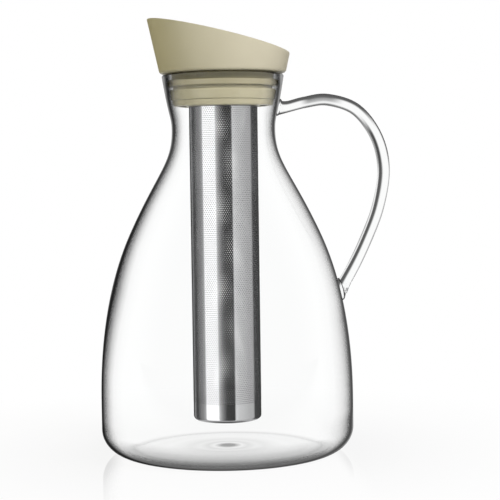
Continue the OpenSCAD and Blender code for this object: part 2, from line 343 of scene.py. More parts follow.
def grainMaterial(name, tone, drift, shine, shineDrift, grain, cloud, bump, metallic=0, specular=0.5):
    # grain and cloud are feature sizes in millimetres, one number or one for each axis
    coat = {"Metallic": metallic, "Specular IOR Level": specular}
    material, tree, shader, output = startMaterial(name, coat)
    marks = {"Tone": tone, "Drift": drift, "Shine": shine, "Shine drift": shineDrift}
    detail = node(tree, "ShaderNodeGroup", marks, node_tree=grainGroup)
    for entry, size in (("Grain size", grain), ("Cloud size", cloud)):
        sizes = size if isinstance(size, tuple) else (size, size, size)
        detail.inputs[entry].default_value = [1 / (value * mm) for value in sizes]
    relief = node(tree, "ShaderNodeBump", {"Strength": bump, "Distance": 0.1 * mm})
    plug(tree, detail, "Height", relief, "Height")
    plug(tree, detail, "Colour", shader, "Base Color")
    plug(tree, detail, "Roughness", shader, "Roughness")
    plug(tree, relief, "Normal", shader, "Normal")
    return material


def startGlass(name, look):
    # clear glass with a faint ripple, which lets the lamps through
    material, tree, shader, output = startMaterial(name, {
        "Roughness": 0, "Base Color": look["tint"], "IOR": look["ior"], "Transmission Weight": 1,
    })
    place = node(tree, "ShaderNodeTexCoord")
    ripple = node(tree, "ShaderNodeTexNoise", {"Scale": 1 / (look["rippleSize"] * mm), "Detail": 1})
    plug(tree, place, "Object", ripple, "Vector")
    relief = node(tree, "ShaderNodeBump", {"Strength": look["ripple"], "Distance": mm})
    plug(tree, ripple, "Fac", relief, "Height")
    plug(tree, relief, "Normal", shader, "Normal")
    clear = node(tree, "ShaderNodeBsdfTransparent", {"Color": look["shadow"]}, name="clear")
    rays = node(tree, "ShaderNodeLightPath")
    choice = node(tree, "ShaderNodeMixShader", name="choice")
    plug(tree, shader, "BSDF", choice, 1)
    plug(tree, clear, "BSDF", choice, 2)
    plug(tree, choice, "Shader", output, "Surface")
    facing = node(tree, "ShaderNodeLayerWeight", {"Blend": 0.5})
    return material, tree, shader, place, facing, rays


def rayKinds(tree):
    # three switches: rays that left the steel, that glass threw back, and that met no matt surface
    rays = node(tree, "ShaderNodeLightPath")
    bounced = calc(tree, "GREATER_THAN", (rays, "Glossy Depth"), 0.5)
    mirrored = calc(tree, "MULTIPLY", (bounced, 0), (rays, "Is Singular Ray"))
    polished = calc(tree, "SUBTRACT", (bounced, 0), (mirrored, 0))
    undimmed = calc(tree, "LESS_THAN", (rays, "Diffuse Depth"), 0.5)
    return (polished, 0), (mirrored, 0), (undimmed, 0)


def paintGlassShade(tree, shader, rays, tone):
    # painted shade: a black coat as strong as the tone is low, on the face that the eye meets first; it
    # stands in for the dark edges of glass in a studio and is not traced
    inside = node(tree, "ShaderNodeNewGeometry", name="inside")
    outside = calc(tree, "SUBTRACT", 1, (inside, "Backfacing"))
    crossings = calc(tree, "ADD", (rays, "Transmission Depth"), (rays, "Transparent Depth"))
    first = calc(tree, "LESS_THAN", (crossings, 0), 0.5)
    seen = calc(tree, "MULTIPLY", (outside, 0), (first, 0))
    loss = calc(tree, "SUBTRACT", 1, tone)
    paintedShade = calc(tree, "MULTIPLY", (loss, 0), (seen, 0))
    plug(tree, paintedShade, 0, shader, "Coat Weight")
    shader.inputs["Coat Tint"].default_value = (0, 0, 0, 1)
    shader.inputs["Coat IOR"].default_value = 1
    return seen


def vesselGlassMaterial(name, look):
    # painted shade: the wall is darkened where it turns away from the eye, sooner at some heights than at
    # others, and with other stops on the left side than on the right
    material, tree, shader, place, facing, rays = startGlass(name, look)
    spot = split(tree, place, "Object")
    height = calc(tree, "DIVIDE", (spot, "Z"), look["topZ"] * mm)
    tones = []
    for side in ("right", "left"):
        stops = [(z / look["topZ"], shift + look["lowest"]) for z, shift in look[side + "Shift"]]
        shift = ramp(tree, height, 0, stops)
        turned = calc(tree, "ADD", (facing, "Facing"), (shift, "Color"))
        past = calc(tree, "SUBTRACT", (turned, 0), look["lowest"])
        tones.append(ramp(tree, past, 0, look[side + "Edge"]))
    # painted shade: the right side's stops blend into the left side's across the body
    reach = look["sideReach"] * mm
    side = node(tree, "ShaderNodeMapRange", {"From Min": reach, "From Max": -reach})
    plug(tree, spot, "X", side, "Value")
    edge = blend(tree, (side, "Result"), (tones[0], "Color"), (tones[1], "Color"))
    # painted shade by height, darker at the heel and just under the rim, left out for rays that a glossy
    # surface threw back
    ends = ramp(tree, height, 0, [(z / look["topZ"], shade) for z, shade in look["heel"] + look["rim"]])
    mirrored = calc(tree, "GREATER_THAN", (rays, "Glossy Depth"), 0.5)
    thick = calc(tree, "MAXIMUM", (ends, "Color"), (mirrored, 0))
    tone = calc(tree, "MINIMUM", (edge, "Result"), (thick, 0))
    seen = paintGlassShade(tree, shader, rays, (tone, 0))
    # where the wall turns away, and beyond the first wall, the glass only lets light through; where the eye
    # meets it first, that light carries the same painted shade
    turned = fade(tree, facing, "Facing", *look["plain"])
    thin = calc(tree, "MULTIPLY", (turned, "Result"), (seen, 0))
    passed = calc(tree, "GREATER_THAN", (rays, "Transparent Depth"), 0.5)
    crossed = calc(tree, "GREATER_THAN", (rays, "Transmission Depth"), 1.5)
    beyond = calc(tree, "MAXIMUM", (crossed, 0), (passed, 0))
    lit = calc(tree, "MAXIMUM", (thin, 0), (rays, "Is Shadow Ray"))
    through = calc(tree, "MAXIMUM", (beyond, 0), (lit, 0))
    plug(tree, through, 0, tree.nodes["choice"], "Fac")
    # and painted shade under the floor: rings and a dark middle spot, where less light comes through
    across = vectorCalc(tree, "MULTIPLY", (place, "Object"), [1, 1, 0])
    radius = vectorCalc(tree, "LENGTH", (across, "Vector"))
    out = calc(tree, "DIVIDE", (radius, "Value"), look["floorR"] * mm)
    rings = ramp(tree, out, 0, [(r / look["floorR"], shade) for r, shade in look["floor"]])
    normal = split(tree, place, "Normal")
    level = calc(tree, "GREATER_THAN", (normal, "Z"), look["floorFacing"])
    under = calc(tree, "MULTIPLY", (level, 0), (tree.nodes["inside"], "Backfacing"))
    tint = node(tree, "ShaderNodeMix", {"A": look["shadow"]}, data_type="RGBA")
    plug(tree, under, 0, tint, "Factor")
    plug(tree, rings, "Color", tint, "B")
    wall = node(tree, "ShaderNodeMix", data_type="RGBA")
    plug(tree, seen, 0, wall, "Factor")
    plug(tree, tint, "Result", wall, "A")
    plug(tree, tone, 0, wall, "B")
    plug(tree, wall, "Result", tree.nodes["clear"], "Color")
    return material


def rodGlassMaterial(name, look):
    # painted shade: a solid rod bends the light so far that dark stripes run along it, other ones above than
    # at the side; here the stripes are painted by which way each face leans, not traced
    material, tree, shader, place, facing, rays = startGlass(name, look)
    spot = vectorCalc(tree, "SUBTRACT", (place, "Object"), [part * mm for part in look["middle"]])
    flat = vectorCalc(tree, "MULTIPLY", (spot, "Vector"), [1, 0, 1])
    outwards = vectorCalc(tree, "NORMALIZE", (flat, "Vector"))
    lean = vectorCalc(tree, "DOT_PRODUCT", (outwards, "Vector"), (place, "Normal"))
    across = node(tree, "ShaderNodeMapRange", {"From Min": -1})
    plug(tree, lean, "Value", across, "Value")
    rise = split(tree, outwards, "Vector")
    atSide, atTurn, atBend, atTop = [
        (ramp(tree, across, "Result", [((u + 1) / 2, shade) for u, shade in look[stretch]]), "Color")
        for stretch in ("side", "turn", "bend", "top")
    ]
    toTurn = fade(tree, rise, "Z", *look["toTurn"])
    toBend = fade(tree, rise, "Z", *look["toBend"])
    toTop = fade(tree, rise, "Z", *look["toTop"])
    fromNeck = fade(tree, rise, "X", *look["fromNeck"])
    onTop = calc(tree, "MULTIPLY", (toTop, "Result"), (fromNeck, "Result"))
    low = blend(tree, (toTurn, "Result"), atSide, atTurn)
    bent = blend(tree, (toBend, "Result"), (low, "Result"), atBend)
    tone = blend(tree, (onTop, 0), (bent, "Result"), atTop)
    paintGlassShade(tree, shader, rays, (tone, "Result"))
    # the steel doesn't mirror the rod
    polished, mirrored, undimmed = rayKinds(tree)
    through = calc(tree, "MAXIMUM", polished, (rays, "Is Shadow Ray"))
    plug(tree, through, 0, tree.nodes["choice"], "Fac")
    return material


# Finishes

# stops of the painted shade at an edge: how far a face is turned away from the eye, and how much light comes
# through there
glassLook = dict(
    ior=1.47, tint=(0.995, 1, 0.998, 1), rippleSize=22, ripple=0.02, shadow=(1, 1, 1, 1),
    topZ=250, sideReach=55, lowest=0.1, floorR=70, floorFacing=0.7, plain=(0.5, 0.62),
    leftEdge=[(0.36, 1), (0.44, 0.975), (0.5, 0.92), (0.54, 0.8), (0.58, 0.65), (0.62, 0.47), (0.66, 0.3),
              (0.7, 0.2), (0.73, 0.11), (0.76, 0.04), (0.8, 0.012), (0.86, 0.02), (0.91, 0.1), (1, 0.3)],
    rightEdge=[(0.38, 1), (0.5, 0.97), (0.58, 0.87), (0.62, 0.8), (0.67, 0.68), (0.7, 0.58), (0.73, 0.47),
               (0.77, 0.32), (0.8, 0.2), (0.84, 0.1), (0.88, 0.07), (0.93, 0.1), (1, 0.35)],
    # how much sooner the painted edge shade starts, by height, on each side
    leftShift=[(0, 0), (9, 0), (14, -0.03), (22, -0.08), (50, -0.08), (85, -0.015), (98, 0.005),
               (125, -0.01), (150, 0), (165, 0.03), (174, 0.065), (183, 0.12), (201, 0.135), (207, 0.12),
               (212, 0.13), (215, 0.17), (219, 0.17), (222, 0.2), (224, 0.2), (225, 0.05)],
    rightShift=[(0, 0.1), (9, 0.1), (14, 0.09), (22, 0.07), (28, 0.02), (40, 0.02), (60, 0.03), (80, 0.03),
                (92, 0), (110, 0), (150, 0.015), (165, 0.015), (174, 0.04), (183, 0.09), (190, 0.145),
                (198, 0.15), (207, 0.2), (218, 0.22), (223, 0.3), (225, 0.3)],
    # painted shade by height at the heel and under the rim, and by radius in rings under the floor
    heel=[(0, 0.15), (3, 0.15), (5, 0.19), (6, 0.25), (7, 0.35), (8, 0.46), (9, 0.56), (10, 0.63),
          (11, 0.68), (12.5, 0.8), (14, 0.88), (16, 1)],
    rim=[(221, 1), (221.8, 0.45), (224, 0.42), (225.5, 0.5)],
    floor=[(0, 0.33), (4, 0.36), (6.5, 0.7), (8.5, 0.9), (12, 0.78), (17, 0.88), (22, 0.84), (28, 0.9),
           (36, 0.95), (48, 0.93), (54, 0.88), (57.5, 0.68), (60, 0.9), (63, 1)],
)
# stops of the painted shade across a stretch: from the inner to the outer edge of the rod's loop
rodLook = dict(
    ior=1.47, tint=(0.995, 1, 0.998, 1), rippleSize=14, ripple=0.03, shadow=(0.95, 0.95, 0.95, 1),
    middle=(45, 0, 145), toTurn=(0.36, 0.56), toBend=(0.7, 0.86), toTop=(0.915, 0.965), fromNeck=(0, 0.1),
    side=[(-1, 0.4), (-0.94, 0.5), (-0.87, 0.95), (-0.8, 0.8), (-0.73, 0.12), (-0.5, 0.1), (-0.37, 0.2),
          (-0.26, 0.75), (-0.15, 1), (0.62, 1), (0.76, 0.5), (1, 0.25)],
    turn=[(-1, 0.55), (-0.86, 0.45), (-0.77, 0.22), (-0.68, 0.08), (-0.48, 0.07), (-0.38, 0.45), (-0.28, 1),
          (0.56, 1), (0.68, 0.4), (0.77, 0.1), (1, 0.1)],
    bend=[(-1, 0.3), (-0.85, 0.14), (-0.72, 0.6), (-0.62, 1), (0.24, 1), (0.38, 0.5), (0.5, 0.11),
          (1, 0.11)],
    top=[(-1, 0.3), (-0.8, 0.13), (-0.68, 0.45), (-0.58, 0.92), (-0.4, 0.9), (-0.22, 0.55), (0, 0.41),
         (0.15, 0.36), (0.3, 0.2), (0.5, 0.12), (0.85, 0.09), (1, 0.15)],
)
clearGlass = vesselGlassMaterial("clearGlass", glassLook)
rodGlass = rodGlassMaterial("rodGlass", rodLook)
sandPlastic = grainMaterial("sandPlastic", srgb(199, 193, 165), drift=0.05, shine=0.42, shineDrift=0.12,
                            grain=0.35, cloud=18, bump=0.25)
plugPlastic = grainMaterial("plugPlastic", srgb(186, 179, 143), drift=0.05, shine=0.3, shineDrift=0.1,
                            grain=0.35, cloud=14, bump=0.2, specular=1)
sandSilicone = grainMaterial("sandSilicone", srgb(168, 160, 124), drift=0.06, shine=0.32, shineDrift=0.1,
                             grain=0.25, cloud=9, bump=0.15, specular=1)
steelTone = (0.82, 0.82, 0.83, 1)
tubeSteel = grainMaterial("tubeSteel", steelTone, drift=0.05, shine=0.06, shineDrift=0.03,
                          grain=(0.25, 0.25, 9), cloud=(7, 7, 60), bump=0.01, metallic=1)
pressedSteel = grainMaterial("pressedSteel", steelTone, drift=0.04, shine=0.06, shineDrift=0.03,
                             grain=(6, 6, 0.2), cloud=(12, 12, 4), bump=0.01, metallic=1)
print("finishes:", len(bpy.data.materials))


# Glass vessel

vessel = dict(
    height=225, bodyR=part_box("glass_vessel")[1].x / mm, bellyZ=27, footR=59, heelZ=15, neckR=30.8,
    neckDrop=32.4, rimR=36.2, wall=2.2, floor=3, puntR=49, puntRise=3,
    waistRise=0.63, waistOut=0.58, waistSlope=1.71, bellyPull=0.15, waistLowPull=0.4, waistHighPull=0.6,
    neckLowPull=0.32, neckHighPull=0.26, rimPull=0.8, rimSlope=0.9,
    lowSteps=28, highSteps=36, flareSteps=22, turns=288,
)


def vesselOutside(v):
    # the outer wall from the heel's top to the rim: belly to waist, waist to neck, neck to rim
    neckZ = v["height"] - v["neckDrop"]
    topZ = v["height"] - v["wall"] / 2
    wide = v["bodyR"] - v["neckR"]
    tall = neckZ - v["bellyZ"]
    belly = Vector((v["bodyR"], v["bellyZ"]))
    waist = Vector((v["neckR"] + v["waistOut"] * wide, v["bellyZ"] + v["waistRise"] * tall))
    neck = Vector((v["neckR"], neckZ))
    rim = Vector((v["rimR"], topZ))
    lowRise, highRise, flareRise = waist.y - belly.y, neckZ - waist.y, topZ - neckZ
    lean = Vector((-v["waistSlope"] * wide / tall, 1))
    flare = Vector((v["rimSlope"] * (rim.x - neck.x) / flareRise, 1))
    up = Vector((0, 1))
    return (
        [belly]
        + bezier(belly, belly + up * v["bellyPull"] * lowRise,
                 waist - lean * v["waistLowPull"] * lowRise, waist, v["lowSteps"])
        + bezier(waist, waist + lean * v["waistHighPull"] * highRise,
                 neck - up * v["neckLowPull"] * highRise, neck, v["highSteps"])
        + bezier(neck, neck + up * v["neckHighPull"] * flareRise,
                 rim - flare * v["rimPull"] * flareRise, rim, v["flareSteps"])
    )


def heelCurve(v, side, bottom, steps=14):
    # quarter ellipse from the foot up to the body's side
    wide, tall = v["bodyR"] - v["footR"] - side, v["heelZ"] - bottom
    angles = [pi / 2 * step / steps for step in range(steps + 1)]
    return [Vector((v["footR"] + wide * sin(a), v["heelZ"] - tall * cos(a))) for a in angles]


def puntCurve(v, lift, steps=10):
    # the shallow hollow under the floor, from the axis outwards
    ball = (v["puntR"] ** 2 + v["puntRise"] ** 2) / (2 * v["puntRise"])
    radii = [v["puntR"] * step / steps for step in range(steps + 1)]
    return [Vector((r, sqrt(ball ** 2 - r ** 2) - ball + v["puntRise"] + lift)) for r in radii]


def lipCurve(outer, inner, steps=10):
    # half round over the rim
    centre, reach = (outer + inner) / 2, (outer - inner) / 2
    top = Vector((-reach.y, reach.x))
    return [
        centre + reach * cos(pi * step / steps) + top * sin(pi * step / steps) for step in range(1, steps)
    ]


def makeVessel(v):
    outer = heelCurve(v, 0, 0) + vesselOutside(v)
    inner = heelCurve(v, v["wall"], v["floor"]) + setIn(vesselOutside(v), v["wall"])
    outline = (
        puntCurve(v, 0) + outer + lipCurve(outer[-1], inner[-1])
        + inner[::-1] + puntCurve(v, v["floor"])[::-1]
    )
    return lathe("glassVessel", outline, v["turns"])


# Handle, a bent glass rod that is spread at both welds

rod = dict(
    reach=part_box("handle")[1].x / mm, width=7.5, topWidth=6.3, highDrop=19.4, lowZ=96,
    highSpread=8.8, lowSpread=10.4, spreadLength=8, taper=0.45, sides=10, steps=8,
    highKnots=[(0.06, 1), (0.25, 1.025), (0.47, 1.038), (0.74, 0.983), (0.93, 0.838), (1, 0.66)],
    lowKnots=[(0.873, 0.455), (0.576, 0.262), (0.221, 0.085)],
    highPad=(2.6, 4.5, 5.2), lowPad=(3.4, 5.6, 7), padSides=32,
)


def wallAt(points, height):
    # radius of an outline at a height
    for low, high in zip(points, points[1:]):
        if low.y <= height <= high.y:
            return low.x + (high.x - low.x) * (height - low.y) / (high.y - low.y)


def rodKnots(h, high, low):
    # shares of the way out from each weld and of the height between the welds
    outX = h["reach"] - h["width"] / 2
    rise = high.y - low.y
    top = [Vector((high.x + (outX - high.x) * a, low.y + rise * b)) for a, b in h["highKnots"]]
    bottom = [Vector((low.x + (outX - low.x) * a, low.y + rise * b)) for a, b in h["lowKnots"]]
    highRoot = Vector((-h["width"], 0))
    lowRoot = (low - bottom[-1]).normalized() * h["width"]
    return [high + 2 * highRoot, high + highRoot] + top + bottom + [low + lowRoot, low + 2 * lowRoot]


def rodPath(knots, steps):
    # smooth curve through the knots
    path = []
    for a, b, c, d in zip(knots, knots[1:], knots[2:], knots[3:]):
        square, cube = 2 * a - 5 * b + 4 * c - d, 3 * b - a - 3 * c + d
        for step in range(steps):
            t = step / steps
            path.append((2 * b + (c - a) * t + square * t * t + cube * t ** 3) / 2)
    return path + [knots[-2]]


def makePad(h, place, sizes, wall):
    # a flattened drop of glass that lies on the wall round a weld
    clearSelection()
    bpy.ops.mesh.primitive_uv_sphere_add(segments=h["padSides"], ring_count=h["padSides"] // 2, radius=mm)
    pad = bpy.context.object
    bpy.ops.object.mode_set(mode="EDIT")
    bpy.ops.mesh.select_all(action="SELECT")
    bpy.ops.transform.resize(value=sizes)
    lean = (wallAt(wall, place.y + 1) - wallAt(wall, place.y - 1)) / 2
    bpy.ops.transform.rotate(value=-atan(lean), orient_axis="Y", center_override=(0, 0, 0))
    bpy.ops.transform.translate(value=(place.x * mm, 0, place.y * mm))
    bpy.ops.object.mode_set(mode="OBJECT")
    return pad


def makeHandle(h, v):
    wall = vesselOutside(v)
    highZ = v["height"] - h["highDrop"]
    high = Vector((wallAt(wall, highZ), highZ))
    low = Vector((wallAt(wall, h["lowZ"]), h["lowZ"]))
    path = rodPath(rodKnots(h, high, low), h["steps"])
    clearSelection()
    bpy.ops.curve.primitive_nurbs_path_add()
    piece = bpy.context.object
    piece.name = "handleRod"
    curve = piece.data
    curve.dimensions = "3D"
    curve.splines.clear()
    spline = curve.splines.new("POLY")
    spline.points.add(len(path) - 1)
    welds = (high, h["highSpread"], h["topWidth"]), (low, h["lowSpread"], h["width"])
    for index, (point, place) in enumerate(zip(spline.points, path)):
        share = min(1, index / (len(path) - 1) / h["taper"])
        width = h["topWidth"] + (h["width"] - h["topWidth"]) * share
        for weld, spread, thin in welds:
            near = max(0, 1 - (place - weld).length / h["spreadLength"])
            width += near ** 2 * (spread - thin)
        point.co = (place.x * mm, 0, place.y * mm, 1)
        point.radius = width / h["width"]
    curve.bevel_depth = h["width"] / 2 * mm
    curve.bevel_resolution = h["sides"]
    curve.use_fill_caps = True
    takePiece(piece)
    bpy.ops.object.convert(target="MESH")
    piece = bpy.context.object
    takePiece(piece, "EDIT")
    closeMesh()
    bpy.ops.object.mode_set(mode="OBJECT")
    for place, sizes in ((high, h["highPad"]), (low, h["lowPad"])):
        combine(piece, makePad(h, place, sizes, wall), "UNION")
    # the rod starts inside the wall, so that the weld is one glass
    half = setIn(vesselOutside(v), v["wall"] / 2)
    core = lathe("vesselCore", [Vector((0, half[0].y))] + half + [Vector((0, half[-1].y))], v["turns"])
    combine(piece, core, "DIFFERENCE")
    return piece


glassVessel = makeVessel(vessel)
handleRod = makeHandle(rod, vessel)
dress(glassVessel, clearGlass)
dress(handleRod, rodGlass)
combine(glassVessel, handleRod, "UNION", materials="TRANSFER")
finishPiece(glassVessel, "vessel", ["glass_vessel", "handle"])


# Lid shell and cover: one flared side under a slanted top

lid = dict(
    lowZ=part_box("lid_cap")[0].z / mm, tipZ=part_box("lid_cap")[1].z / mm, lowR=37.5, flare=12.3, tilt=13.8,
    wall=2.2, lip=1.2, floor=2.2, hole=29.67, coverThick=2, coverGap=0.1, mouth=14,
    lowRound=1.6, lipRound=0.5, coverRound=0.35, edgeSlack=0.1, sharp=40, spare=4, turns=160,
)
lidRise = tan(radians(lid["flare"]))
lidTipR = lid["lowR"] + (lid["tipZ"] - lid["lowZ"]) * lidRise
lidTopNormal = Vector((sin(radians(lid["tilt"])), 0, cos(radians(lid["tilt"]))))
lidTop = Vector((-lidTipR, 0, lid["tipZ"])) * mm
lidLedge = lidTop - lidTopNormal * lid["coverThick"] * mm


def addFlare(inset, lowZ, fill="NOTHING"):
    # part of the lid's flared side, from a height to above the tip, set in by the inset
    highZ = lid["tipZ"] + lid["spare"]
    lowR = lid["lowR"] + (lowZ - lid["lowZ"]) * lidRise - inset
    bpy.ops.mesh.primitive_cone_add(
        vertices=lid["turns"], radius1=lowR * mm, radius2=(lowR + (highZ - lowZ) * lidRise) * mm,
        depth=(highZ - lowZ) * mm, end_fill_type=fill, location=(0, 0, (lowZ + highZ) / 2 * mm),
    )


def cutTop(place, keepAbove=False, fill=False):
    bpy.ops.mesh.bisect(plane_co=place, plane_no=lidTopNormal, clear_outer=not keepAbove,
                        clear_inner=keepAbove, use_fill=fill)


def drawIn(piece, place, normal, share):
    # extrudes the ring that lies on a plane towards the axis, to a share of its size
    axisZ = place.dot(normal) / normal.z
    pickEdges(piece, lambda co: abs((co - place).dot(normal)) < touch)
    bpy.ops.mesh.extrude_region_move()
    bpy.ops.transform.resize(value=(share, share, share), center_override=(0, 0, axisZ))


def makeLidShell():
    piece = startPiece("lidShell", point=False)
    up = Vector((0, 0, 1))
    floorZ = lid["lowZ"] + lid["floor"]
    floorR = lid["lowR"] + lid["floor"] * lidRise - lid["wall"]
    topR, ledgeR = [
        lid["lowR"] + (place.dot(lidTopNormal) / lidTopNormal.z / mm - lid["lowZ"]) * lidRise
        for place in (lidTop, lidLedge)
    ]
    addFlare(0, lid["lowZ"])
    cutTop(lidTop)
    drawIn(piece, lidTop, lidTopNormal, 1 - lid["lip"] / topR)
    drawIn(piece, up * lid["lowZ"] * mm, up, lid["hole"] / lid["lowR"])
    addFlare(lid["lip"], floorZ)
    cutTop(lidTop)
    bpy.ops.mesh.select_linked()
    cutTop(lidLedge, keepAbove=True)
    drawIn(piece, lidLedge, lidTopNormal, (ledgeR - lid["wall"]) / (ledgeR - lid["lip"]))
    addFlare(lid["wall"], floorZ)
    cutTop(lidLedge)
    drawIn(piece, up * floorZ * mm, up, lid["hole"] / floorR)
    bpy.ops.mesh.primitive_cone_add(
        vertices=lid["turns"], radius1=lid["hole"] * mm, radius2=lid["hole"] * mm,
        depth=lid["floor"] * mm, end_fill_type="NOTHING",
        location=(0, 0, (lid["lowZ"] + lid["floor"] / 2) * mm),
    )
    closeMesh()
    pickEdges(piece, lambda co: abs((co - lidTop).dot(lidTopNormal)) < touch, ringsOnly=True)
    bpy.ops.mesh.bevel(offset=lid["lipRound"] * mm, segments=3)
    footZ, footR = lid["lowZ"] * mm + touch, (lid["lowR"] - lid["edgeSlack"]) * mm
    pickEdges(piece, lambda co: co.z < footZ and co.xy.length > footR, ringsOnly=True)
    bpy.ops.mesh.bevel(offset=lid["lowRound"] * mm, segments=5)
    bpy.ops.object.mode_set(mode="OBJECT")
    return piece


def makeLidCover():
    piece = startPiece("lidCover", point=False)
    addFlare(lid["lip"] + lid["coverGap"], lid["lowZ"] + lid["floor"], "NGON")
    cutTop(lidTop, fill=True)
    bpy.ops.mesh.select_all(action="SELECT")
    cutTop(lidLedge, keepAbove=True, fill=True)
    bpy.ops.mesh.select_all(action="SELECT")
    bpy.ops.mesh.bisect(plane_co=((lid["mouth"] - lidTipR) * mm, 0, 0), plane_no=(1, 0, 0),
                        clear_inner=True, use_fill=True)
    closeMesh()
    bpy.ops.mesh.select_mode(type="EDGE")
    bpy.ops.mesh.select_all(action="DESELECT")
    bpy.ops.mesh.edges_select_sharp(sharpness=radians(lid["sharp"]))
    bpy.ops.mesh.bevel(offset=lid["coverRound"] * mm, segments=3)
    # a border round the flat faces keeps the rounding out of their shading
    bpy.ops.mesh.select_mode(type="FACE")
    bpy.ops.mesh.select_face_by_sides(number=4, type="GREATER", extend=False)
    bpy.ops.mesh.inset(thickness=lid["coverRound"] * mm, use_individual=True)
    bpy.ops.object.mode_set(mode="OBJECT")
    return piece


finishPiece(makeLidShell(), "lid", ["lid_cap"], sandPlastic)
finishPiece(makeLidCover(), "lid", ["lid_cover"], sandPlastic)


# Plug, seal and collar: turned rings, two of them with a hub on four spokes

spokes = dict(count=4, width=4, hubR=22.05, sink=0.6, round=0.3)
plugRing = dict(
    lowZ=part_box("lid_plug")[0].z / mm, highZ=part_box("lid_plug")[1].z / mm, threadR=28.47, lowR=30.67,
    topR=31.82, topZ=216.3, stemR=29.57, seatR=28.97, seatLowZ=217.9, seatHighZ=221.9, shoulderR=30.37,
    shoulderRise=15.8, snapR=30.07, snapZ=228.2, boreR=26.97, spiderZ=215.9, spiderThick=2, spokeSink=1.3,
    discEdge=0.4, edge=0.3, lowRound=0.6, topRound=0.8, grooveRound=0.2, snapRound=0.15, turns=128,
)
sealRing = dict(
    lowZ=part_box("neck_seal")[0].z / mm, highZ=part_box("neck_seal")[1].z / mm, innerR=29.07, lowR=32.71,
    highR=33.33, round=0.9, innerRound=0.4, turns=128,
)
collar = dict(
    lowZ=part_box("infuser_collar")[0].z / mm, ringZ=210, spigotZ=215.6, lowR=29.53, highR=30.3,
    spigotR=28.17, boreR=26.97, sleeveR=20.8, sleeveZ=214, spokeThick=2.2, edge=0.3, boreRound=0.4,
    lowRound=0.9, turns=128,
)


def addSpokes(piece, lowZ, thick, outR):
    # one bar, copied round the axis, each copy fused to the ring
    inR = spokes["hubR"] - spokes["sink"]
    for index in range(spokes["count"]):
        clearSelection()
        bpy.ops.mesh.primitive_cube_add(size=1)
        bar = bpy.context.object
        bpy.ops.object.mode_set(mode="EDIT")
        bpy.ops.transform.resize(value=((outR - inR) * mm, spokes["width"] * mm, thick * mm))
        bpy.ops.transform.translate(value=((outR + inR) / 2 * mm, 0, (lowZ + thick / 2) * mm))
        bpy.ops.mesh.bevel(offset=spokes["round"] * mm, segments=2)
        bpy.ops.mesh.select_all(action="SELECT")
        turn = 2 * pi * (index + 0.5) / spokes["count"]
        bpy.ops.transform.rotate(value=-turn, orient_axis="Z", center_override=(0, 0, 0))
        bpy.ops.object.mode_set(mode="OBJECT")
        combine(piece, bar, "UNION")


def makePlug(p):
    hubR, chamfer, edge = spokes["hubR"], p["discEdge"], p["edge"]
    shoulderZ = p["lowZ"] + p["shoulderRise"]
    discLowZ, discHighZ = p["spiderZ"], p["spiderZ"] + p["spiderThick"]
    piece = lathe("lidPlug", roundOutline([
        (p["threadR"], p["lowZ"], edge), (p["lowR"], p["lowZ"], p["lowRound"]),
        (p["topR"], p["topZ"], p["topRound"]), (p["stemR"], p["topZ"], edge),
        (p["stemR"], p["seatLowZ"], p["grooveRound"]), (p["seatR"], p["seatLowZ"], 0),
        (p["seatR"], p["seatHighZ"], 0), (p["shoulderR"], p["seatHighZ"], edge),
        (p["shoulderR"], shoulderZ, edge), (p["stemR"], shoulderZ, 0), (p["stemR"], p["snapZ"], 0),
        (p["snapR"], p["snapZ"], p["snapRound"]), (p["stemR"], p["highZ"], p["grooveRound"]),
        (p["boreR"], p["highZ"], edge), (p["boreR"], discLowZ, 0), (p["threadR"], discLowZ, edge),
    ]), p["turns"])
    disc = lathe("spiderDisc", [
        (0, discLowZ), (hubR - chamfer, discLowZ), (hubR, discLowZ + chamfer),
        (hubR, discHighZ - chamfer), (hubR - chamfer, discHighZ), (0, discHighZ),
    ], p["turns"])
    combine(piece, disc, "UNION")
    addSpokes(piece, discLowZ, p["spiderThick"], p["boreR"] + p["spokeSink"])
    return piece


def makeCollar(c):
    edge, hubR = c["edge"], spokes["hubR"]
    piece = lathe("infuserCollar", roundOutline([
        (c["boreR"], c["lowZ"], c["boreRound"]), (c["lowR"], c["lowZ"], c["lowRound"]),
        (c["highR"], c["ringZ"], edge), (c["spigotR"], c["ringZ"], edge),
        (c["spigotR"], c["spigotZ"], edge), (c["boreR"], c["spigotZ"], edge),
    ]), c["turns"])
    sleeve = lathe("sleeve", roundOutline([
        (c["sleeveR"], c["lowZ"], edge), (hubR, c["lowZ"], edge),
        (hubR, c["sleeveZ"], edge), (c["sleeveR"], c["sleeveZ"], edge),
    ]), c["turns"])
    combine(piece, sleeve, "UNION")
    addSpokes(piece, c["lowZ"], c["spokeThick"], c["boreR"] + spokes["sink"])
    return piece


def makeSeal(s):
    return lathe("neckSeal", roundOutline([
        (s["innerR"], s["lowZ"], s["innerRound"]), (s["lowR"], s["lowZ"], s["round"]),
        (s["highR"], s["highZ"], s["round"]), (s["innerR"], s["highZ"], s["innerRound"]),
    ], 6), s["turns"])


finishPiece(makePlug(plugRing), "lid", ["lid_plug"], plugPlastic)
finishPiece(makeSeal(sealRing), "lid_seal", ["neck_seal"], sandSilicone)
finishPiece(makeCollar(collar), "collar", ["infuser_collar"], plugPlastic)


# Infuser: perforated tube, rolled rim and pressed base

tube = dict(
    lowZ=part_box("infuser_tube")[0].z / mm, highZ=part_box("infuser_tube")[1].z / mm, outR=20.5, steel=0.5,
    around=100, hole=0.6, topMargin=1.5, lowMargin=0.3, tooth=0.49, bands=4,
)
base = dict(lowZ=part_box("infuser_base")[0].z / mm, edgeR=2.4, flat=0.3, turns=128)
rim = dict(
    lowZ=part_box("infuser_rim")[0].z / mm, highZ=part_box("infuser_rim")[1].z / mm, roll=1.1, bead=0.48,
    edge=0.3, turns=128,
)


def wrapSheet(piece, radius):
    # rolls a sheet that stands in the X-Z plane round the axis
    for point in piece.data.vertices:
        turn = point.co.x / radius
        point.co = ((radius + point.co.y) * sin(turn), -(radius + point.co.y) * cos(turn), point.co.z)


